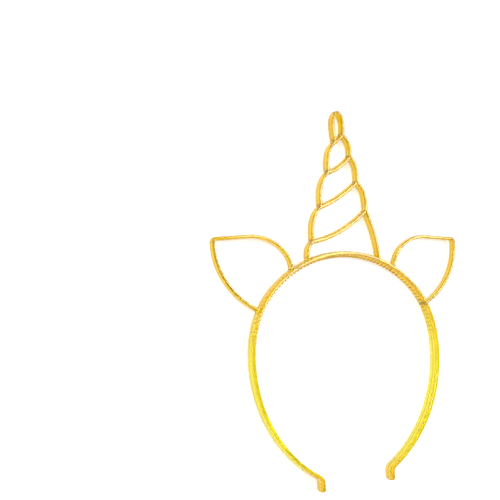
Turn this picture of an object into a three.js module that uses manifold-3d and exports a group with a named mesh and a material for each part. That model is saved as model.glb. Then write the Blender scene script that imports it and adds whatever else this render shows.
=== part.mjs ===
// Openwork unicorn headband with cat ears, one plastic moulding, in millimetres.
// It lies on its side: X across the head, Y from the feet to the horn's tip, Z from the back face up.
import * as THREE from 'three';
import { mergeVertices } from 'three/addons/utils/BufferGeometryUtils.js';
import Module from 'manifold-3d';

const wasm = await Module();
wasm.setup();

const degree = Math.PI / 180;

// The hoop: tangent arcs from the crown down to each foot, radii on the centre line of the band
const band = {
  crownRadius: 65.3,
  crownHalfAngle: 42.6,
  sideRadius: 47.7,
  sideAngle: 39,
  legRadius: 72.1,
  legAngle: 67.9,
  footBendRadius: 3.8,
  footLength: 4.3,
};

// Each rib is thickest at the parting line, half way through its depth, and drafted to both faces
const bandRib = { depth: 6.8, thickness: 2.9, faceThickness: 1.7 };
const earRib = { depth: 4.2, thickness: 2.3, faceThickness: 1.5 };
const hornRib = { depth: 5, thickness: 2.5, faceThickness: 1.5 };
const barRib = { depth: 4.4, thickness: 2.9, faceThickness: 1.5 };
const partingLand = 0.4;

// Every arc and curve is built from this many straight steps, the horn's shorter ones from fewer
const curveSteps = 8;
const hornCurveSteps = 6;
const repeatDistance = 1e-6;

// The comb on the inner face of the band, over the top and down both sides
const comb = {
  endAngle: 81.5,
  pitch: 2.45,
  depth: 2.9,
  height: 0.7,
  rootThickness: 1.1,
  tipThickness: 0.6,
};

// Each ear: where its strips leave the band, its highest place, where the straight top begins, and
// its tip, a little lower, both measured from the crown's centre line
const ear = {
  innerAngle: 31,
  outerAngle: 61.7,
  shoulderRise: 9.4,
  straightLength: 22,
  reach: 79,
  rise: 8.1,
  tipRadius: 2,
  outerSweep: 63,
};

// The horn: its feet on the band, and the top of its arch above the crown's centre line
const horn = {
  footAngle: 20.9,
  height: 79.3,
  archHalfWidth: 3.35,
  archHeight: 7.3,
  archShift: 0.7,
};

// Scallops from the band up. rise is a share of the horn's height, reach of its half width at the
// band, both at the notch that the scallop climbs to. swell is how far the scallop bulges past its
// lower end, as a share of the half width, and drop how far down from the notch it swells most.
const leftScallops = [
  { rise: 0.082, reach: 0.85, swell: 0.043, drop: 0.28 },
  { rise: 0.323, reach: 0.579, swell: 0.052, drop: 0.28 },
  { rise: 0.567, reach: 0.318, swell: 0.047, drop: 0.28 },
  { rise: 0.786, reach: 0.073, swell: 0.052, drop: 0.28 },
];
const rightScallops = [
  { rise: 0.299, reach: 0.695, swell: -0.03, drop: 0.5 },
  { rise: 0.504, reach: 0.485, swell: 0.047, drop: 0.28 },
  { rise: 0.687, reach: 0.33, swell: 0.047, drop: 0.28 },
  { rise: 0.84, reach: 0.142, swell: 0.047, drop: 0.28 },
];

// How far each bar sags below the straight line between its notches, as a share of that line
const barSags = [0.075, 0.05, 0.08, 0.06];

const plastic = new THREE.MeshStandardMaterial({ color: '#f2d31c', roughness: 0.15, metalness: 0 });

const crown = new THREE.Vector2(0, 0);

function pointOnBand(angle) {
  // angle runs clockwise from the crown; the side arc takes over where the crown's arc ends
  const crownAngle = Math.min(angle, band.crownHalfAngle);
  const point = new THREE.Vector2(
    band.crownRadius * Math.sin(crownAngle * degree),
    band.crownRadius * (Math.cos(crownAngle * degree) - 1),
  ).add(crown);
  if (angle > crownAngle) {
    point.x += band.sideRadius * (Math.sin(angle * degree) - Math.sin(crownAngle * degree));
    point.y += band.sideRadius * (Math.cos(angle * degree) - Math.cos(crownAngle * degree));
  }
  return point;
}

function bandLine() {
  // the right half from the crown to the foot, then mirrored
  const line = new THREE.Path();
  const arcs = [
    { radius: band.crownRadius, turn: band.crownHalfAngle },
    { radius: band.sideRadius, turn: band.sideAngle },
    { radius: band.legRadius, turn: band.legAngle },
  ];
  let heading = 0;
  let point = crown.clone();
  for (const { radius, turn } of arcs) {
    const start = (90 - heading) * degree;
    heading += turn;
    const end = (90 - heading) * degree;
    const centre = new THREE.Vector2(Math.cos(start), Math.sin(start)).multiplyScalar(-radius).add(point);
    line.absarc(centre.x, centre.y, radius, start, end, true);
    point = line.curves.at(-1).getPoint(1);
  }
  const bendStart = (270 - heading) * degree;
  const bendCentre = new THREE.Vector2(Math.cos(bendStart), Math.sin(bendStart))
    .multiplyScalar(-band.footBendRadius)
    .add(point);
  line.absarc(bendCentre.x, bendCentre.y, band.footBendRadius, bendStart, Math.PI, false);
  line.lineTo(line.currentPoint.x, line.currentPoint.y - band.footLength);
  const right = withoutRepeats(line.getPoints(curveSteps));
  const left = right.slice(1).map((p) => new THREE.Vector2(-p.x, p.y)).reverse();
  return [...left, ...right];
}

function earLine() {
  // up from the band in a quarter ellipse, along to the tip, then round and down to the band again
  const inner = pointOnBand(ear.innerAngle);
  const outer = pointOnBand(ear.outerAngle);
  const tip = new THREE.Vector2(ear.reach, ear.rise);
  const shoulder = new THREE.Vector2(tip.x - ear.straightLength, ear.shoulderRise);
  const sweep = ear.outerSweep * degree;
  const line = new THREE.Path();
  line.absellipse(
    shoulder.x, inner.y, shoulder.x - inner.x, shoulder.y - inner.y, Math.PI, Math.PI / 2, true,
  );
  line.lineTo(tip.x - ear.tipRadius, tip.y);
  line.absarc(tip.x - ear.tipRadius, tip.y - ear.tipRadius, ear.tipRadius, Math.PI / 2, 0, true);
  const across = (tip.x - outer.x) / (1 - Math.cos(sweep));
  const down = (tip.y - ear.tipRadius - outer.y) / Math.sin(sweep);
  line.absellipse(tip.x - across, tip.y - ear.tipRadius, across, down, 0, -sweep, true);
  return withoutRepeats(line.getPoints(curveSteps));
}

function hornNotches(scallops, side) {
  // the foot on the band, then the notch at the top of each scallop
  const foot = pointOnBand(horn.footAngle);
  const notches = scallops.map(
    ({ rise, reach }) => new THREE.Vector2(side * reach * foot.x, rise * horn.height),
  );
  return [new THREE.Vector2(side * foot.x, foot.y), ...notches];
}

function scallopControl(lower, upper, { swell, drop }, side) {
  const halfWidth = pointOnBand(horn.footAngle).x;
  return new THREE.Vector2(lower.x + side * swell * halfWidth, upper.y - drop * (upper.y - lower.y));
}

function hornLine() {
  // up the left scallops, over the arch, and down the right ones
  const left = hornNotches(leftScallops, -1);
  const right = hornNotches(rightScallops, 1);
  const spring = horn.height - horn.archHeight;
  const line = new THREE.Path();
  line.moveTo(left[0].x, left[0].y);
  leftScallops.forEach((row, i) => {
    const control = scallopControl(left[i], left[i + 1], row, -1);
    line.quadraticCurveTo(control.x, control.y, left[i + 1].x, left[i + 1].y);
  });
  const archLeft = horn.archShift - horn.archHalfWidth;
  const archRight = horn.archShift + horn.archHalfWidth;
  line.quadraticCurveTo(archLeft, (left.at(-1).y + spring) / 2, archLeft, spring);
  line.absellipse(horn.archShift, spring, horn.archHalfWidth, horn.archHeight, Math.PI, 0, true);
  line.quadraticCurveTo(archRight, (right.at(-1).y + spring) / 2, right.at(-1).x, right.at(-1).y);
  [...rightScallops.keys()].reverse().forEach((i) => {
    const control = scallopControl(right[i], right[i + 1], rightScallops[i], 1);
    line.quadraticCurveTo(control.x, control.y, right[i].x, right[i].y);
  });
  return withoutRepeats(line.getPoints(hornCurveSteps));
}

function barLine(index) {
  // from the notch on the left to its fellow on the right, hanging a little between them
  const start = hornNotches(leftScallops, -1)[index + 1];
  const end = hornNotches(rightScallops, 1)[index + 1];
  const sag = 2 * barSags[index] * start.distanceTo(end);
  const line = new THREE.Path();
  line.moveTo(start.x, start.y);
  line.quadraticCurveTo((start.x + end.x) / 2, (start.y + end.y) / 2 - sag, end.x, end.y);
  return line.getPoints(curveSteps);
}

function withoutRepeats(points) {
  return points.filter((point, i) => i === 0 || point.distanceTo(points[i - 1]) > repeatDistance);
}

function shiftedLine(points, distance) {
  // the line moved sideways, with mitred corners
  return points.map((point, i) => {
    const before = points[Math.max(i - 1, 0)];
    const after = points[Math.min(i + 1, points.length - 1)];
    const arriving = (i > 0 ? point.clone().sub(before) : after.clone().sub(point)).normalize();
    const leaving = (i < points.length - 1 ? after.clone().sub(point) : arriving.clone()).normalize();
    const across = arriving.clone().add(leaving).normalize();
    const mitre = distance / across.dot(arriving);
    return new THREE.Vector2(point.x - across.y * mitre, point.y + across.x * mitre);
  });
}

function solidFrom(geometry) {
  geometry.deleteAttribute('normal');
  geometry.deleteAttribute('uv');
  const merged = mergeVertices(geometry);
  return new wasm.Manifold(
    new wasm.Mesh({
      numProp: 3,
      vertProperties: new Float32Array(merged.attributes.position.array),
      triVerts: new Uint32Array(merged.index.array),
    }),
  );
}

function ribAlong(points, rib) {
  // the two faces have the drafted width, and the bevel swells it to the parting land
  const outline = [
    ...shiftedLine(points, -rib.faceThickness / 2),
    ...shiftedLine(points, rib.faceThickness / 2).reverse(),
  ];
  const draft = (rib.depth - partingLand) / 2;
  const geometry = new THREE.ExtrudeGeometry(new THREE.Shape(outline), {
    depth: partingLand,
    bevelThickness: draft,
    bevelSize: (rib.thickness - rib.faceThickness) / 2,
    bevelSegments: 1,
  });
  geometry.translate(0, 0, (bandRib.depth - partingLand) / 2);
  return solidFrom(geometry);
}

function combTooth(angle) {
  // a tapered block that stands on the inner face and is rooted at the band's centre line
  const root = pointOnBand(Math.abs(angle));
  const tipY = -bandRib.thickness / 2 - comb.height;
  const outline = [
    new THREE.Vector2(-comb.rootThickness / 2, 0),
    new THREE.Vector2(-comb.tipThickness / 2, tipY),
    new THREE.Vector2(comb.tipThickness / 2, tipY),
    new THREE.Vector2(comb.rootThickness / 2, 0),
  ];
  const geometry = new THREE.ExtrudeGeometry(new THREE.Shape(outline), {
    depth: comb.depth,
    bevelEnabled: false,
  });
  geometry.rotateZ(-angle * degree);
  geometry.translate(Math.sign(angle) * root.x, root.y, (bandRib.depth - comb.depth) / 2);
  return solidFrom(geometry);
}

function combAngles() {
  // even steps along the band from the crown; the side arc is tighter, so it takes wider angles
  const angles = [0];
  const crownLength = band.crownRadius * band.crownHalfAngle * degree;
  for (let length = comb.pitch; ; length += comb.pitch) {
    const onSide = Math.max(length - crownLength, 0);
    const angle = (length - onSide) / band.crownRadius / degree + onSide / band.sideRadius / degree;
    if (angle > Math.min(comb.endAngle, band.crownHalfAngle + band.sideAngle)) {
      return angles;
    }
    angles.push(angle, -angle);
  }
}

function mirrored(points) {
  return points.map((point) => new THREE.Vector2(-point.x, point.y)).reverse();
}

const ribs = [
  ribAlong(bandLine(), bandRib),
  ribAlong(earLine(), earRib),
  ribAlong(mirrored(earLine()), earRib),
  ribAlong(hornLine(), hornRib),
  ...barSags.map((_, index) => ribAlong(barLine(index), barRib)),
  ...combAngles().map(combTooth),
];
const moulding = ribs.reduce((whole, rib) => whole.add(rib));

const { vertProperties, triVerts } = moulding.getMesh();
const geometry = new THREE.BufferGeometry();
geometry.setAttribute('position', new THREE.BufferAttribute(vertProperties, 3));
geometry.setIndex(new THREE.BufferAttribute(triVerts, 1));

// The origin is in the middle of the footprint, on the surface that the back face lies on
geometry.computeBoundingBox();
const middle = geometry.boundingBox.getCenter(new THREE.Vector3());
geometry.translate(-middle.x, -middle.y, 0);

const headband = new THREE.Mesh(geometry.toNonIndexed(), plastic);
headband.name = 'headband';
headband.geometry.computeVertexNormals();

const part = new THREE.Group();
part.add(headband);

export default part;
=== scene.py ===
from math import ceil, cos, log, pi, radians, sin

import bmesh
import bpy
from mathutils import Matrix, Vector


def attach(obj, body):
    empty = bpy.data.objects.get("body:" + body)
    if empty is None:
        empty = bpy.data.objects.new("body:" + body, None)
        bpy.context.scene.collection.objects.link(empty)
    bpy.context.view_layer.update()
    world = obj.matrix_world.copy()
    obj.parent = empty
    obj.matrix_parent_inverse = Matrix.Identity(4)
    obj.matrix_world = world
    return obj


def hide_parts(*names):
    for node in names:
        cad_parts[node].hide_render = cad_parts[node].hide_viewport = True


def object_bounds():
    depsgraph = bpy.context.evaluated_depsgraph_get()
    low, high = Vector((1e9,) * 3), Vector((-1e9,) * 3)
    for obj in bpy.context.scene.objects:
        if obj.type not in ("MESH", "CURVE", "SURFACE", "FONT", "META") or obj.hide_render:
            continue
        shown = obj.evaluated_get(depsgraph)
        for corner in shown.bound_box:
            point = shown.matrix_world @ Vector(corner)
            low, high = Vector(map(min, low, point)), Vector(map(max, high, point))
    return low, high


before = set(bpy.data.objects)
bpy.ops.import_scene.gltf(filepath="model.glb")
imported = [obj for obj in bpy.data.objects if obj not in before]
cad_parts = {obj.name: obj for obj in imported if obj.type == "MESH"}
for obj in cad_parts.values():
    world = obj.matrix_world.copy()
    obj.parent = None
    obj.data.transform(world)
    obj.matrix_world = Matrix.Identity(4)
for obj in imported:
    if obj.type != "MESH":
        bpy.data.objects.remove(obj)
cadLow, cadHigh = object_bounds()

mm = 0.001
print("frame loaded:", sorted(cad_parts))


# Lines in the plane of the hoop, in millimetres, with the crown's centre line at (0, 0).
# step is about how far apart the points of a line lie.

fewestSteps = 4  # in any bend, however short


def arcPoints(centre, across, up, start, end, step):
    # a stretch of a circle or ellipse, with its angles in degrees from +X
    length = max(across, up) * radians(abs(end - start))
    count = max(fewestSteps, ceil(length / step))
    angles = [radians(start + (end - start) * i / count) for i in range(count + 1)]
    return [Vector((centre[0] + across * cos(a), centre[1] + up * sin(a))) for a in angles]


def bowPoints(start, pull, end, step):
    # a curve that leaves start towards pull and comes to end from there
    count = max(fewestSteps, ceil((end - start).length / step))
    shares = [i / count for i in range(count + 1)]
    return [start * (1 - t) ** 2 + pull * 2 * t * (1 - t) + end * t ** 2 for t in shares]


def straightPoints(start, end, step):
    count = max(1, ceil((end - start).length / step))
    return [start.lerp(end, i / count) for i in range(count + 1)]


def trimmedEnd(points, reach, mostOfStep=0.9):
    # the points without the last stretch of that length
    kept = list(points)
    while len(kept) > 2 and (kept[-1] - kept[-2]).length < reach:
        reach -= (kept[-1] - kept[-2]).length
        kept.pop()
    last = kept[-1] - kept[-2]
    kept[-1] = kept[-1] - last * min(reach / last.length, mostOfStep)
    return kept


def joinedLine(stretches, cornerReach=0.0, sharpFrom=8, cornerSteps=3):
    # end to end, and where two stretches meet at a corner it is rounded over cornerReach each way
    line = list(stretches[0])
    for stretch in stretches[1:]:
        corner = stretch[0]
        arriving, leaving = corner - line[-2], stretch[1] - corner
        if cornerReach and arriving.angle(leaving) > radians(sharpFrom):
            line = trimmedEnd(line, cornerReach)
            stretch = trimmedEnd(stretch[::-1], cornerReach)[::-1]
            bow = bowPoints(line[-1], corner, stretch[0], cornerReach / cornerSteps)
            line += bow[1:-1] + stretch
        else:
            line += stretch[1:]
    return line


def mirroredLine(line):
    return [Vector((-p.x, p.y)) for p in reversed(line)]


# The hoop: tangent arcs from the crown to each foot, a small outward bend and a short straight foot

band = {
    "depth": 6.8, "thickness": 2.9, "faceThickness": 1.7,
    "crownRadius": 65.3, "crownAngle": 42.6,  # each side of the middle
    "sideRadius": 47.7, "sideAngle": 39,
    "legRadius": 72.1, "legAngle": 67.9,
    "footBendRadius": 3.8, "footLength": 4.9,  # its round end takes in the last 0.6
    "edgeRadius": 0.6, "footRounding": 1.9,
    "step": 1.2, "bendStep": 0.4, "footStep": 0.15,
}


def pointOnBand(angle):
    # angle in degrees clockwise from the crown, over the crown's arc and then the side's
    onCrown = min(angle, band["crownAngle"])
    x = band["crownRadius"] * sin(radians(onCrown))
    y = band["crownRadius"] * (cos(radians(onCrown)) - 1)
    if angle > onCrown:
        x += band["sideRadius"] * (sin(radians(angle)) - sin(radians(onCrown)))
        y += band["sideRadius"] * (cos(radians(angle)) - cos(radians(onCrown)))
    return Vector((x, y))


def bandLine():
    heading, point, stretches = 0, Vector((0, 0)), []
    for part in ("crown", "side", "leg"):
        radius, turn = band[part + "Radius"], band[part + "Angle"]
        start = 90 - heading
        centre = point - Vector((cos(radians(start)), sin(radians(start)))) * radius
        stretches.append(arcPoints(centre, radius, radius, start, start - turn, band["step"]))
        heading += turn
        point = stretches[-1][-1]
    bend = band["footBendRadius"]
    start = 270 - heading
    centre = point - Vector((cos(radians(start)), sin(radians(start)))) * bend
    stretches.append(arcPoints(centre, bend, bend, start, 180, band["bendStep"]))
    ankle = stretches[-1][-1]
    toe = ankle - Vector((0, band["footLength"]))
    stretches.append(straightPoints(ankle, toe, band["footStep"]))
    right = joinedLine(stretches)
    return mirroredLine(right)[:-1] + right


# Each ear is one strip: up from the band in a quarter ellipse, straight to the tip, round it and
# back down to the band

ear = {
    "depth": 4.2, "thickness": 2.3, "faceThickness": 1.5,
    "innerAngle": 31, "outerAngle": 61.7,
    "shoulderRise": 9.4, "straightLength": 22,
    "reach": 79, "rise": 8.1, "tipRadius": 2, "outerSweep": 63,
    "edgeRadius": 0.55, "rootFlare": 0.5, "rootLength": 3.2,
    "step": 1.0, "tipStep": 0.35,
}


def earLine():
    inner, outer = pointOnBand(ear["innerAngle"]), pointOnBand(ear["outerAngle"])
    reach, rise, sweep, step = ear["reach"], ear["rise"], ear["outerSweep"], ear["step"]
    radius = ear["tipRadius"]
    tipX, tipY = reach - radius, rise - radius
    bend = Vector((reach - ear["straightLength"], ear["shoulderRise"]))
    shoulder = arcPoints((bend.x, inner.y), bend.x - inner.x, bend.y - inner.y, 180, 90, step)
    top = straightPoints(bend, Vector((tipX, rise)), step)
    tip = arcPoints((tipX, tipY), radius, radius, 90, 0, ear["tipStep"])
    across = (reach - outer.x) / (1 - cos(radians(sweep)))
    down = (tipY - outer.y) / sin(radians(sweep))
    side = arcPoints((reach - across, tipY), across, down, 0, -sweep, step)
    return joinedLine([shoulder, top, tip, side])


# The horn: scallops up both sides, each climbing to a notch, and a narrow arch over the top.
# rise is a share of the horn's height and reach of its half width at the band, both at the notch.
# swell is how far the scallop bulges past its lower end and drop where it swells most.

horn = {
    "depth": 5, "thickness": 2.5, "faceThickness": 1.5,
    "footAngle": 20.9, "height": 79.3,
    "archHalfWidth": 3.35, "archHeight": 7.3, "archShift": 0.7,
    "edgeRadius": 0.55, "notchRounding": 1.0, "rootFlare": 0.5, "rootLength": 3.0,
    "step": 0.9, "archStep": 0.6,
    "left": [
        {"rise": 0.082, "reach": 0.85, "swell": 0.043, "drop": 0.28},
        {"rise": 0.323, "reach": 0.579, "swell": 0.052, "drop": 0.28},
        {"rise": 0.567, "reach": 0.318, "swell": 0.047, "drop": 0.28},
        {"rise": 0.786, "reach": 0.073, "swell": 0.052, "drop": 0.28},
    ],
    "right": [
        {"rise": 0.299, "reach": 0.695, "swell": -0.03, "drop": 0.5},
        {"rise": 0.504, "reach": 0.485, "swell": 0.047, "drop": 0.28},
        {"rise": 0.687, "reach": 0.33, "swell": 0.047, "drop": 0.28},
        {"rise": 0.84, "reach": 0.142, "swell": 0.047, "drop": 0.28},
    ],
}


def hornNotches(side):
    # the foot on the band, then the notch at the top of each scallop
    foot = pointOnBand(horn["footAngle"])
    if side == "left":
        foot.x = -foot.x
    height = horn["height"]
    return [foot] + [Vector((row["reach"] * foot.x, row["rise"] * height)) for row in horn[side]]


def scallops(side):
    notches = hornNotches(side)
    footX = notches[0].x
    stretches = []
    for lower, upper, row in zip(notches, notches[1:], horn[side]):
        widest = upper.y - row["drop"] * (upper.y - lower.y)
        pull = Vector((lower.x + row["swell"] * footX, widest))
        stretches.append(bowPoints(lower, pull, upper, horn["step"]))
    return stretches


def hornLine():
    left, right = scallops("left"), scallops("right")
    shift, halfWidth, archHeight = horn["archShift"], horn["archHalfWidth"], horn["archHeight"]
    spring = horn["height"] - archHeight
    archLeft, archRight = Vector((shift - halfWidth, spring)), Vector((shift + halfWidth, spring))
    leftTop, rightTop = left[-1][-1], right[-1][-1]
    leftPull = Vector((archLeft.x, (leftTop.y + spring) / 2))
    rightPull = Vector((archRight.x, (rightTop.y + spring) / 2))
    upLeft = bowPoints(leftTop, leftPull, archLeft, horn["step"])
    arch = arcPoints((shift, spring), halfWidth, archHeight, 180, 0, horn["archStep"])
    downRight = bowPoints(archRight, rightPull, rightTop, horn["step"])
    down = [stretch[::-1] for stretch in reversed(right)]
    return joinedLine(left + [upLeft, arch, downRight] + down, horn["notchRounding"])


# The four bars across the horn, from the notch on the left to its fellow on the right

bars = {
    "depth": 4.4, "thickness": 2.9, "faceThickness": 1.5,
    "sags": [0.075, 0.05, 0.08, 0.06],  # below the straight line, as a share of its length
    "edgeRadius": 0.55,
    "step": 0.9,
}


def barLine(index):
    start, end = hornNotches("left")[index + 1], hornNotches("right")[index + 1]
    sag = 2 * bars["sags"][index] * (end - start).length
    return bowPoints(start, (start + end) / 2 - Vector((0, sag)), end, bars["step"])


# The comb: low blunt teeth on the inner face of the hoop, over the top and down both sides

comb = {
    "pitch": 2.45, "teethEachSide": 33,
    "depth": 2.9, "height": 0.7, "rootThickness": 1.1, "tipThickness": 0.6,
    "edgeRadius": 0.18, "edgeSteps": 2,
}


# What every rib shares: a flat land between its two drafted halves, where the mould closes

mould = {
    "land": 0.4, "landRadius": 0.06,
    "creaseAngle": 38,  # degrees between two faces, past which their edge shows
}


# Nodes

def addNode(tree, kind, settings=None, inputs=None):
    # an input takes a plain value, another node's socket, or a whole node for its first output
    node = tree.nodes.new(kind)
    for name, value in (settings or {}).items():
        setattr(node, name, value)
    for socket, value in (inputs or {}).items():
        if isinstance(value, bpy.types.Node):
            value = value.outputs[0]
        if isinstance(value, bpy.types.NodeSocket):
            tree.links.new(value, node.inputs[socket])
        else:
            node.inputs[socket].default_value = value
    return node


def openTree(name, sizes=()):
    # a geometry tree with a named input for each size
    tree = bpy.data.node_groups.new(name, "GeometryNodeTree")
    tree.interface.new_socket("Geometry", in_out="INPUT", socket_type="NodeSocketGeometry")
    for label, kind in sizes:
        tree.interface.new_socket(label, in_out="INPUT", socket_type="NodeSocket" + kind)
    tree.interface.new_socket("Geometry", in_out="OUTPUT", socket_type="NodeSocketGeometry")
    return tree


def closeTree(tree, geometry, material):
    real = addNode(tree, "GeometryNodeRealizeInstances", inputs={"Geometry": geometry})
    smooth = addNode(tree, "GeometryNodeSetShadeSmooth", inputs={"Geometry": real})
    painted = addNode(tree, "GeometryNodeSetMaterial", inputs={
        "Geometry": smooth, "Material": material})
    addNode(tree, "NodeGroupOutput", inputs={0: painted})
    return tree


def shapedBy(tree, source, values, name):
    # runs the tree on the source object and keeps the result as a plain mesh
    modifier = source.modifiers.new(tree.name, "NODES")
    modifier.node_group = tree
    for item in tree.interface.items_tree:
        if item.in_out == "INPUT" and item.name in values:
            modifier[item.identifier] = values[item.name]
    graph = bpy.context.evaluated_depsgraph_get()
    mesh = bpy.data.meshes.new_from_object(source.evaluated_get(graph))
    source.modifiers.remove(modifier)
    mesh.name = name
    return placed(name, mesh)


def placed(name, data):
    obj = bpy.data.objects.new(name, data)
    bpy.context.scene.collection.objects.link(obj)
    return obj


def removed(*objects):
    for obj in objects:
        bpy.data.objects.remove(obj)


# where the crown's centre line and the parting line lie in the frame, in metres
crownY = cadHigh.y - (horn["height"] + horn["thickness"] / 2) * mm
midDepth = band["depth"] / 2 * mm


def pathCurve(name, line):
    # the line as a curve object, half way up the depth that all the ribs share
    curve = bpy.data.curves.new(name, "CURVE")
    curve.dimensions = "3D"
    spline = curve.splines.new("POLY")
    spline.points.add(len(line) - 1)
    for point, place in zip(spline.points, line):
        point.co = (place.x * mm, place.y * mm + crownY, midDepth, 1)
    return placed(name, curve)


ribSizes = ["Depth", "Thickness", "Face Thickness", "Parting Land", "Edge Radius", "Land Radius",
            "End Rounding", "Root Flare", "Root Length"]
ribShape = {
    "ringCorners": 8, "landFrom": 0.65,  # past that share of the radius a corner is on the land
    "edgeSteps": 4,
    "endDeep": 2.0, "endNarrow": 0.8,  # how much a round end takes off the depth and the thickness
}


def ribTree(material):
    # a rib swept along a path: thickest at the parting land, drafted to both faces, edges rounded
    tree = openTree("ribAlongPath", [(label, "Float") for label in ribSizes])
    size = addNode(tree, "NodeGroupInput").outputs
    position = addNode(tree, "GeometryNodeInputPosition")

    # the section starts as a turned octagon, and six of its places become the rib's own corners
    ring = addNode(tree, "GeometryNodeCurvePrimitiveCircle",
                   inputs={"Resolution": ribShape["ringCorners"], "Radius": 1.0})
    turned = addNode(tree, "GeometryNodeTransform",
                     inputs={"Geometry": ring, "Rotation": (0, 0, pi / ribShape["ringCorners"])})
    away = addNode(tree, "ShaderNodeVectorMath", {"operation": "ABSOLUTE"}, {0: position})
    awayFromMiddle = addNode(tree, "ShaderNodeSeparateXYZ", inputs={0: away})
    onLand = addNode(tree, "ShaderNodeMath", {"operation": "GREATER_THAN"},
                     {0: awayFromMiddle.outputs["X"], 1: ribShape["landFrom"]})
    wideness = addNode(tree, "ShaderNodeMapRange", inputs={
        "Value": onLand, "To Min": size["Face Thickness"], "To Max": size["Thickness"]})
    deepness = addNode(tree, "ShaderNodeMapRange", inputs={
        "Value": onLand, "To Min": size["Depth"], "To Max": size["Parting Land"]})
    spread = addNode(tree, "ShaderNodeCombineXYZ", inputs={"X": wideness, "Y": deepness})
    signs = addNode(tree, "ShaderNodeVectorMath", {"operation": "SIGN"}, {0: position})
    full = addNode(tree, "ShaderNodeVectorMath", {"operation": "MULTIPLY"}, {0: signs, 1: spread})
    corner = addNode(tree, "ShaderNodeVectorMath", {"operation": "SCALE"}, {0: full, "Scale": 0.5})
    hexagon = addNode(tree, "GeometryNodeSetPosition", inputs={
        "Geometry": turned, "Position": corner})
    nearLand = addNode(tree, "ShaderNodeMath", {"operation": "LESS_THAN"},
                       {0: awayFromMiddle.outputs["Y"], 1: size["Parting Land"]})
    rounding = addNode(tree, "ShaderNodeMapRange", inputs={
        "Value": nearLand, "To Min": size["Edge Radius"], "To Max": size["Land Radius"]})
    section = addNode(tree, "GeometryNodeFilletCurve", {"mode": "POLY"}, {
        "Curve": hexagon, "Count": ribShape["edgeSteps"], "Radius": rounding, "Limit Radius": True})
    sectionKept = addNode(tree, "GeometryNodeCaptureAttribute")
    sectionKept.capture_items.new("VECTOR", "Place")
    tree.links.new(section.outputs[0], sectionKept.inputs["Geometry"])
    tree.links.new(position.outputs[0], sectionKept.inputs["Place"])

    # the path keeps its place, direction and length for every ring of the sweep
    pathKept = addNode(tree, "GeometryNodeCaptureAttribute")
    tree.links.new(size["Geometry"], pathKept.inputs["Geometry"])
    for kind, label, source in (
        ("VECTOR", "Place", position.outputs[0]),
        ("VECTOR", "Tangent", addNode(tree, "GeometryNodeInputTangent").outputs[0]),
        ("FLOAT", "Run", addNode(tree, "GeometryNodeSplineParameter").outputs["Length"]),
        ("FLOAT", "Whole", addNode(tree, "GeometryNodeSplineLength").outputs["Length"]),
    ):
        pathKept.capture_items.new(kind, label)
        tree.links.new(source, pathKept.inputs[label])
    swept = addNode(tree, "GeometryNodeCurveToMesh", inputs={
        "Curve": pathKept.outputs["Geometry"], "Profile Curve": sectionKept.outputs["Geometry"],
        "Fill Caps": True})

    # a free end closes in on a quarter circle: closeIn is how far each face has come in there
    toFarEnd = addNode(tree, "ShaderNodeMath", {"operation": "SUBTRACT"},
                       {0: pathKept.outputs["Whole"], 1: pathKept.outputs["Run"]})
    fromEnd = addNode(tree, "ShaderNodeMath", {"operation": "MINIMUM"},
                      {0: pathKept.outputs["Run"], 1: toFarEnd})
    shareIn = addNode(tree, "ShaderNodeMath", {"operation": "DIVIDE", "use_clamp": True},
                      {0: fromEnd, 1: size["End Rounding"]})
    short = addNode(tree, "ShaderNodeMath", {"operation": "SUBTRACT"}, {0: 1.0, 1: shareIn})
    squared = addNode(tree, "ShaderNodeMath", {"operation": "MULTIPLY"}, {0: short, 1: short})
    rest = addNode(tree, "ShaderNodeMath", {"operation": "SUBTRACT"}, {0: 1.0, 1: squared})
    circle = addNode(tree, "ShaderNodeMath", {"operation": "SQRT"}, {0: rest})
    shareOff = addNode(tree, "ShaderNodeMath", {"operation": "SUBTRACT"}, {0: 1.0, 1: circle})
    closeIn = addNode(tree, "ShaderNodeMath", {"operation": "MULTIPLY"},
                      {0: size["End Rounding"], 1: shareOff})
    deepOff = addNode(tree, "ShaderNodeMath", {"operation": "MULTIPLY"},
                      {0: closeIn, 1: ribShape["endDeep"]})
    deepLost = addNode(tree, "ShaderNodeMath", {"operation": "DIVIDE"},
                       {0: deepOff, 1: size["Depth"]})
    deep = addNode(tree, "ShaderNodeMath", {"operation": "SUBTRACT"}, {0: 1.0, 1: deepLost})
    wideOff = addNode(tree, "ShaderNodeMath", {"operation": "MULTIPLY"},
                      {0: closeIn, 1: ribShape["endNarrow"]})
    wideLost = addNode(tree, "ShaderNodeMath", {"operation": "DIVIDE"},
                       {0: wideOff, 1: size["Thickness"]})
    narrowed = addNode(tree, "ShaderNodeMath", {"operation": "SUBTRACT"}, {0: 1.0, 1: wideLost})

    # a rooted end widens a little into what it stands on
    flareShare = addNode(tree, "ShaderNodeMath", {"operation": "DIVIDE"},
                         {0: size["Root Flare"], 1: size["Thickness"]})
    flare = addNode(tree, "ShaderNodeMapRange", {"interpolation_type": "SMOOTHERSTEP"}, {
        "Value": fromEnd, "From Max": size["Root Length"], "To Min": flareShare, "To Max": 0.0})
    wide = addNode(tree, "ShaderNodeMath", {"operation": "ADD"}, {0: narrowed, 1: flare})

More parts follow.
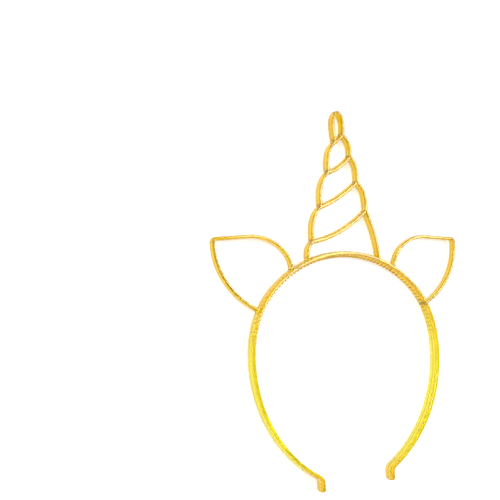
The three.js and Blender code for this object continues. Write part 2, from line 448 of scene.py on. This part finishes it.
    # every point of the section goes to its place across and above the path
    spot = addNode(tree, "ShaderNodeSeparateXYZ", inputs={0: sectionKept.outputs["Place"]})
    acrossBy = addNode(tree, "ShaderNodeMath", {"operation": "MULTIPLY"},
                       {0: spot.outputs["X"], 1: wide})
    upBy = addNode(tree, "ShaderNodeMath", {"operation": "MULTIPLY"},
                   {0: spot.outputs["Y"], 1: deep})
    side = addNode(tree, "ShaderNodeVectorMath", {"operation": "CROSS_PRODUCT"},
                   {0: (0, 0, 1), 1: pathKept.outputs["Tangent"]})
    outwards = addNode(tree, "ShaderNodeVectorMath", {"operation": "SCALE"},
                       {0: side, "Scale": acrossBy})
    upwards = addNode(tree, "ShaderNodeCombineXYZ", inputs={"Z": upBy})
    offset = addNode(tree, "ShaderNodeVectorMath", {"operation": "ADD"}, {0: outwards, 1: upwards})
    target = addNode(tree, "ShaderNodeVectorMath", {"operation": "ADD"},
                     {0: pathKept.outputs["Place"], 1: offset})
    shaped = addNode(tree, "GeometryNodeSetPosition", inputs={
        "Geometry": swept, "Position": target})
    return closeTree(tree, shaped, material)


def combTree(material):
    # teeth at even steps along the band's path, the same number each side of the crown
    tree = openTree("combAlongBand", [("Tooth", "Object"), ("Teeth", "Int"), ("Reach", "Float")])
    size = addNode(tree, "NodeGroupInput").outputs
    length = addNode(tree, "GeometryNodeCurveLength", inputs={0: size["Geometry"]})
    half = addNode(tree, "ShaderNodeMath", {"operation": "MULTIPLY"}, {0: length, 1: 0.5})
    start = addNode(tree, "ShaderNodeMath", {"operation": "SUBTRACT"}, {0: half, 1: size["Reach"]})
    end = addNode(tree, "ShaderNodeMath", {"operation": "ADD"}, {0: half, 1: size["Reach"]})
    stretch = addNode(tree, "GeometryNodeTrimCurve", {"mode": "LENGTH"},
                      {"Curve": size["Geometry"], 4: start, 5: end})  # 4 and 5 are its two lengths
    spots = addNode(tree, "GeometryNodeCurveToPoints", {"mode": "COUNT"},
                    {"Curve": stretch, "Count": size["Teeth"]})
    turn = addNode(tree, "FunctionNodeAxesToRotation", {"primary_axis": "X", "secondary_axis": "Z"},
                   {0: spots.outputs["Tangent"], 1: (0, 0, 1)})
    tooth = addNode(tree, "GeometryNodeObjectInfo", inputs={"Object": size["Tooth"]})
    teeth = addNode(tree, "GeometryNodeInstanceOnPoints", inputs={
        "Points": spots, "Instance": tooth.outputs["Geometry"], "Rotation": turn})
    return closeTree(tree, teeth, material)


def toothMesh():
    # a blunt tooth rooted at the band's centre line, pointing to -Y, with rounded edges
    bm = bmesh.new()
    bmesh.ops.create_cube(bm, size=1)
    tip = -band["thickness"] / 2 - comb["height"]
    for vert in bm.verts:
        atTip = vert.co.y < 0
        vert.co.x *= comb["tipThickness"] if atTip else comb["rootThickness"]
        vert.co.y = tip if atTip else 0
        vert.co.z *= comb["depth"]
        vert.co *= mm
    tipEdges = [e for e in bm.edges if any(v.co.y < 0 for v in e.verts)]
    bmesh.ops.bevel(bm, geom=tipEdges, offset=comb["edgeRadius"] * mm,
                    segments=comb["edgeSteps"], profile=0.5, affect="EDGES")
    mesh = bpy.data.meshes.new("tooth")
    bm.to_mesh(mesh)
    bm.free()
    return mesh


def weldTree(members, material):
    # every rib and tooth joined into the one body that comes out of the mould
    tree = openTree("oneMoulding")
    union = addNode(tree, "GeometryNodeMeshBoolean", {"operation": "UNION", "solver": "MANIFOLD"})
    for member in members:
        info = addNode(tree, "GeometryNodeObjectInfo", inputs={"Object": member})
        tree.links.new(info.outputs["Geometry"], union.inputs["Mesh 2"])
    return closeTree(tree, union, material)


# Materials

def fromHex(code):
    shares = [int(code[i:i + 2], 16) / 255 for i in (0, 2, 4)]
    return [c / 12.92 if c <= 0.04045 else ((c + 0.055) / 1.055) ** 2.4 for c in shares]


def emptyMaterial(name):
    material = bpy.data.materials.new(name)
    material.use_nodes = True
    material.node_tree.nodes.clear()
    return material


# Crystal polystyrene with a yellow dye, injection moulded in a polished tool: glassy, with the
# faint waves that the melt leaves as it flows, fine rub marks from handling, and a duller line half
# way through the depth where the two halves of the mould met. The waves are as coarse as they need
# to be to show.
plastic = {
    "litLegColour": "FFF60A", "shadedTopColour": "FCD804",  # painted light and shade by height: pale down the legs, golden on the rest
    "litFrom": 8.0, "litUntil": -40.0,  # mm from the middle of the frame
    "toeShadeFrom": -86.0, "toeShadeUntil": -102.0,  # and golden painted shade again at the toes
    "glancingShadeColour": "B48C10", "glancingShadeFrom": 0.5, "glancingShadeUntil": 1.0,  # painted shade where the eye looks along it
    "seamColour": "B0900C", "seamRough": 0.2,
    "seamHalf": 0.2, "seamFade": 0.12,  # mm from the middle of the depth, and its soft edge
    "through": "FFF432", "throughDepth": 6.0,  # what white becomes in that many mm, no part 00
    "clearness": 0.72,
    "ior": 1.59,
    "roughness": (0.02, 0.09), "rubRange": (0.35, 0.75), "rubLength": 0.8,
    "waveLength": 9.0, "waveHeight": 0.02,
}


def mouldedPolystyrene():
    material = emptyMaterial("yellowPolystyreneMoulded")
    tree = material.node_tree
    where = addNode(tree, "ShaderNodeTexCoord").outputs["Object"]
    spot = addNode(tree, "ShaderNodeSeparateXYZ", inputs={0: where})

    # waves in the surface, and rub marks that dull it here and there
    waves = addNode(tree, "ShaderNodeTexNoise", inputs={
        "Vector": where, "Scale": 1 / (plastic["waveLength"] * mm),
        "Detail": 1.0, "Roughness": 0.4})
    relief = addNode(tree, "ShaderNodeBump", inputs={
        "Height": waves, "Strength": 1.0, "Distance": plastic["waveHeight"] * mm})
    rubs = addNode(tree, "ShaderNodeTexNoise", inputs={
        "Vector": where, "Scale": 1 / (plastic["rubLength"] * mm),
        "Detail": 3.0, "Roughness": 0.6})
    smoothest, roughest = plastic["roughness"]
    rubFrom, rubUntil = plastic["rubRange"]
    rough = addNode(tree, "ShaderNodeMapRange", inputs={
        "Value": rubs, "From Min": rubFrom, "From Max": rubUntil,
        "To Min": smoothest, "To Max": roughest})

    # painted light and shade by height: pale, as if more light came through, between where the legs
    # begin and where the toes do, and golden painted shade above and below
    litDownLegs = addNode(tree, "ShaderNodeMapRange", {"interpolation_type": "SMOOTHSTEP"}, {
        "Value": spot.outputs["Y"],
        "From Min": plastic["litFrom"] * mm, "From Max": plastic["litUntil"] * mm})
    shadedToToes = addNode(tree, "ShaderNodeMapRange", {"interpolation_type": "SMOOTHSTEP"}, {
        "Value": spot.outputs["Y"],
        "From Min": plastic["toeShadeFrom"] * mm, "From Max": plastic["toeShadeUntil"] * mm})
    paintedLight = addNode(tree, "ShaderNodeMath", {"operation": "SUBTRACT", "use_clamp": True},
                   {0: litDownLegs, 1: shadedToToes})
    litAndShadedTone = addNode(tree, "ShaderNodeMix", {"data_type": "RGBA"}, {  # 6 and 7 are its two colours
        "Factor": paintedLight,
        6: (*fromHex(plastic["shadedTopColour"]), 1), 7: (*fromHex(plastic["litLegColour"]), 1)})

    # painted shade: deeper where the eye looks along the surface, standing in for more of the dyed
    # plastic along the line of sight
    facing = addNode(tree, "ShaderNodeLayerWeight").outputs["Facing"]
    glancingShade = addNode(tree, "ShaderNodeMapRange", {"interpolation_type": "SMOOTHSTEP"}, {
        "Value": facing, "From Min": plastic["glancingShadeFrom"], "From Max": plastic["glancingShadeUntil"]})
    withGlancingShade = addNode(tree, "ShaderNodeMix", {"data_type": "RGBA"}, {
        "Factor": glancingShade, 6: litAndShadedTone.outputs[2], 7: (*fromHex(plastic["glancingShadeColour"]), 1)})

    # the parting line, by the distance from the middle of the depth
    fromMiddle = addNode(tree, "ShaderNodeMath", {"operation": "SUBTRACT"},
                         {0: spot.outputs["Z"], 1: midDepth})
    fromSeam = addNode(tree, "ShaderNodeMath", {"operation": "ABSOLUTE"}, {0: fromMiddle})
    seam = addNode(tree, "ShaderNodeMapRange", {"interpolation_type": "SMOOTHSTEP"}, {
        "Value": fromSeam, "From Min": (plastic["seamHalf"] + plastic["seamFade"]) * mm,
        "From Max": plastic["seamHalf"] * mm})
    seamed = addNode(tree, "ShaderNodeMix", {"data_type": "RGBA"}, {
        "Factor": seam, 6: withGlancingShade.outputs[2], 7: (*fromHex(plastic["seamColour"]), 1)})
    matt = addNode(tree, "ShaderNodeMath", {"operation": "MULTIPLY_ADD"},
                   {0: seam, 1: plastic["seamRough"], 2: rough})

    skin = addNode(tree, "ShaderNodeBsdfPrincipled", inputs={
        "Base Color": seamed.outputs[2], "Transmission Weight": plastic["clearness"],
        "IOR": plastic["ior"], "Roughness": matt, "Normal": relief})
    taken = [-log(c) / (plastic["throughDepth"] * mm) for c in fromHex(plastic["through"])]
    dye = addNode(tree, "ShaderNodeVolumeAbsorption", inputs={
        "Color": (*[1 - t / max(taken) for t in taken], 1), "Density": max(taken)})
    addNode(tree, "ShaderNodeOutputMaterial", inputs={"Surface": skin, "Volume": dye})
    return material


# A sheet of opal acrylic lit from beneath: an even white, barely clouded, on which clear plastic
# shows its own colour and throws hardly a shadow
table = {
    "size": 4.0,  # metres across
    "tones": ("F4F4F2", "FAFAF9"), "cloudLength": 25.0,  # mm
    "roughness": 0.9, "shine": 0.1, "glow": 0.6,
}


def opalAcrylic():
    material = emptyMaterial("opalAcrylicTable")
    tree = material.node_tree
    where = addNode(tree, "ShaderNodeTexCoord").outputs["Object"]
    cloud = addNode(tree, "ShaderNodeTexNoise", inputs={
        "Vector": where, "Scale": 1 / (table["cloudLength"] * mm), "Detail": 2.0})
    low, high = [(*fromHex(code), 1) for code in table["tones"]]
    tone = addNode(tree, "ShaderNodeMix", {"data_type": "RGBA"}, {
        "Factor": cloud, 6: low, 7: high}).outputs[2]
    sheet = addNode(tree, "ShaderNodeBsdfPrincipled", inputs={
        "Base Color": tone, "Roughness": table["roughness"], "Specular IOR Level": table["shine"],
        "Emission Color": tone, "Emission Strength": table["glow"]})
    addNode(tree, "ShaderNodeOutputMaterial", inputs={"Surface": sheet})
    return material


# Building

yellow = mouldedPolystyrene()
print("plastic mixed:", yellow.name)
sweep = ribTree(yellow)


def rib(name, line, sizes):
    path = pathCurve(name + "Path", line)
    lengths = {
        "Depth": sizes["depth"], "Thickness": sizes["thickness"],
        "Face Thickness": sizes["faceThickness"], "Edge Radius": sizes["edgeRadius"],
        "Parting Land": mould["land"], "Land Radius": mould["landRadius"],
        "End Rounding": sizes.get("footRounding", 0),
        "Root Flare": sizes.get("rootFlare", 0), "Root Length": sizes.get("rootLength", 1),
    }
    built = shapedBy(sweep, path, {label: length * mm for label, length in lengths.items()}, name)
    removed(path)
    return built


members = [
    rib("band", bandLine(), band),
    rib("earRight", earLine(), ear),
    rib("earLeft", mirroredLine(earLine()), ear),
    rib("horn", hornLine(), horn),
]
members += [rib(f"bar{i + 1}", barLine(i), bars) for i in range(len(bars["sags"]))]
print("ribs swept:", [m.name for m in members])

teethInAll = 2 * comb["teethEachSide"] + 1
bandPath = pathCurve("bandPath", bandLine())
toothOnce = placed("toothOnce", toothMesh())
members.append(shapedBy(combTree(yellow), bandPath, {
    "Tooth": toothOnce, "Teeth": teethInAll,
    "Reach": comb["teethEachSide"] * comb["pitch"] * mm}, "teeth"))
removed(bandPath, toothOnce)
print("comb teeth:", teethInAll)

seed = placed("seed", bpy.data.meshes.new("seed"))
headband = shapedBy(weldTree(members, yellow), seed, {}, "mouldedHeadband")
removed(seed, *members)
headband.data.set_sharp_from_angle(angle=radians(mould["creaseAngle"]))
print("moulding welded:", len(headband.data.polygons), "faces")

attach(headband, "root")
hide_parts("headband")


# Table, light and camera

floorMesh = bpy.data.meshes.new("floor")
reach = table["size"] / 2
corners = [(-reach, -reach, 0), (reach, -reach, 0), (reach, reach, 0), (-reach, reach, 0)]
floorMesh.from_pydata(corners, [], [(0, 1, 2, 3)])
floorMesh.materials.append(opalAcrylic())
floor = placed("floor", floorMesh)
print("table laid")

# The sky is brighter on one side, so that the plastic shows light and dark edges.
# Places and sizes are in metres, powers in watts.
studio = {
    "sky": "FFFFFF", "brightSide": (-0.5, -0.45, 0.74), "skyStrength": 0.34, "darkStrength": 0.16,
    "darkUntil": -0.1, "brightFrom": 0.8,  # cosines of the angle from the bright side
    "key": {"place": (0.57, 0.15, 0.85), "size": 0.4, "power": 4.2},
    "fill": {"place": (-0.6, 0.3, 0.7), "size": 0.35, "power": 3.4},
}

world = bpy.data.worlds.new("studioSky")
bpy.context.scene.world = world
world.use_nodes = True
skyTree = world.node_tree
skyTree.nodes.clear()
skyPlace = addNode(skyTree, "ShaderNodeTexCoord").outputs["Generated"]
towards = addNode(skyTree, "ShaderNodeVectorMath", {"operation": "DOT_PRODUCT"},
                  {0: skyPlace, 1: Vector(studio["brightSide"]).normalized()}).outputs["Value"]
glow = addNode(skyTree, "ShaderNodeMapRange", {"interpolation_type": "SMOOTHSTEP"}, {
    "Value": towards, "From Min": studio["darkUntil"], "From Max": studio["brightFrom"],
    "To Min": studio["darkStrength"], "To Max": studio["skyStrength"]})
sky = addNode(skyTree, "ShaderNodeBackground", inputs={
    "Color": (*fromHex(studio["sky"]), 1), "Strength": glow})
addNode(skyTree, "ShaderNodeOutputWorld", inputs={"Surface": sky})

for name in ("key", "fill"):
    lamp = bpy.data.lights.new(name, "AREA")
    lamp.shape = "SQUARE"
    lamp.size = studio[name]["size"]
    lamp.energy = studio[name]["power"]
    holder = placed(name, lamp)
    holder.location = studio[name]["place"]
    holder.rotation_euler = (-Vector(studio[name]["place"])).to_track_quat("-Z", "Y").to_euler()
print("lights hung")

# The photograph looks at the hoop from in front and well to its left, from a little below the crown
photoCamera = {
    "place": (-236.74, -8.41, 355.00),  # mm from the frame's origin
    "turn": -27.0, "tip": 4.86, "roll": -2.91,  # degrees about Y, X and the line of sight
    "lens": 54.79, "sensor": 36.0, "clip": (0.01, 20),
}

lens = bpy.data.cameras.new("photoCamera")
lens.lens, lens.sensor_width = photoCamera["lens"], photoCamera["sensor"]
lens.clip_start, lens.clip_end = photoCamera["clip"]
camera = placed("photoCamera", lens)
camera.matrix_world = (
    Matrix.Translation(Vector(photoCamera["place"]) * mm)
    @ Matrix.Rotation(radians(photoCamera["turn"]), 4, "Y")
    @ Matrix.Rotation(radians(photoCamera["tip"]), 4, "X")
    @ Matrix.Rotation(radians(photoCamera["roll"]), 4, "Z")
)
bpy.context.scene.camera = camera
bpy.context.scene.view_settings.view_transform = "Standard"  # keeps the yellow as strong as it is
print("camera set")
